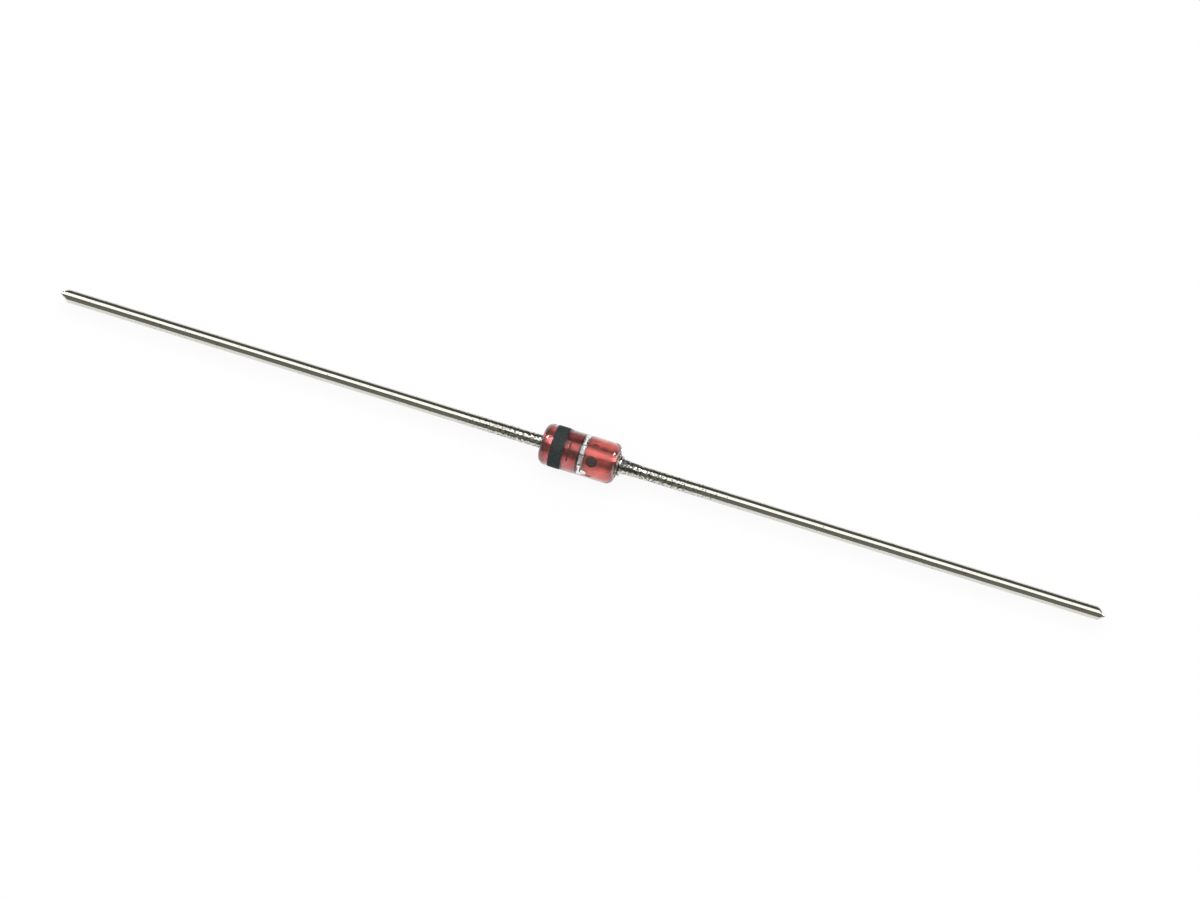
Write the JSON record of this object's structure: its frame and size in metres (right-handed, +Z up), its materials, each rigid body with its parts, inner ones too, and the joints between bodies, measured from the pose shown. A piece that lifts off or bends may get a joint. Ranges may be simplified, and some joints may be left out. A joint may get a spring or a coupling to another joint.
{
  "type": "zener diode",
  "caption": "Axial-lead zener diode in a clear glass sleeve with red slugs, a dark cathode band and long tinned wire leads.",
  "frame": {"origin": "on the diode's axis, halfway along the glass sleeve, which is also the middle of the overall box", "axes": "+X along the axis from the cathode lead to the anode lead, +Z up, print facing up and towards -Y"},
  "size_m": [0.0626, 0.0024, 0.0024],
  "materials": {
    "clear_glass": "fire-polished clear lead glass",
    "red_oxide": "satin red copper oxide on a copper-clad slug",
    "silicon": "polished dark silicon",
    "silver": "plated silver",
    "tinned_wire": "bright tin plating on drawn copper wire",
    "ink": "satin dark ink"
  },
  "bodies": {
    "root": {"glass_sleeve": "clear_glass", "cathode_slug": "red_oxide", "anode_slug": "red_oxide", "silicon_die": "silicon", "anode_bump": "silver", "cathode_contact": "silver", "cathode_lead": "tinned_wire", "anode_lead": "tinned_wire", "cathode_band": "ink", "ink_marks": "ink"}
  },
  "joints": []
}
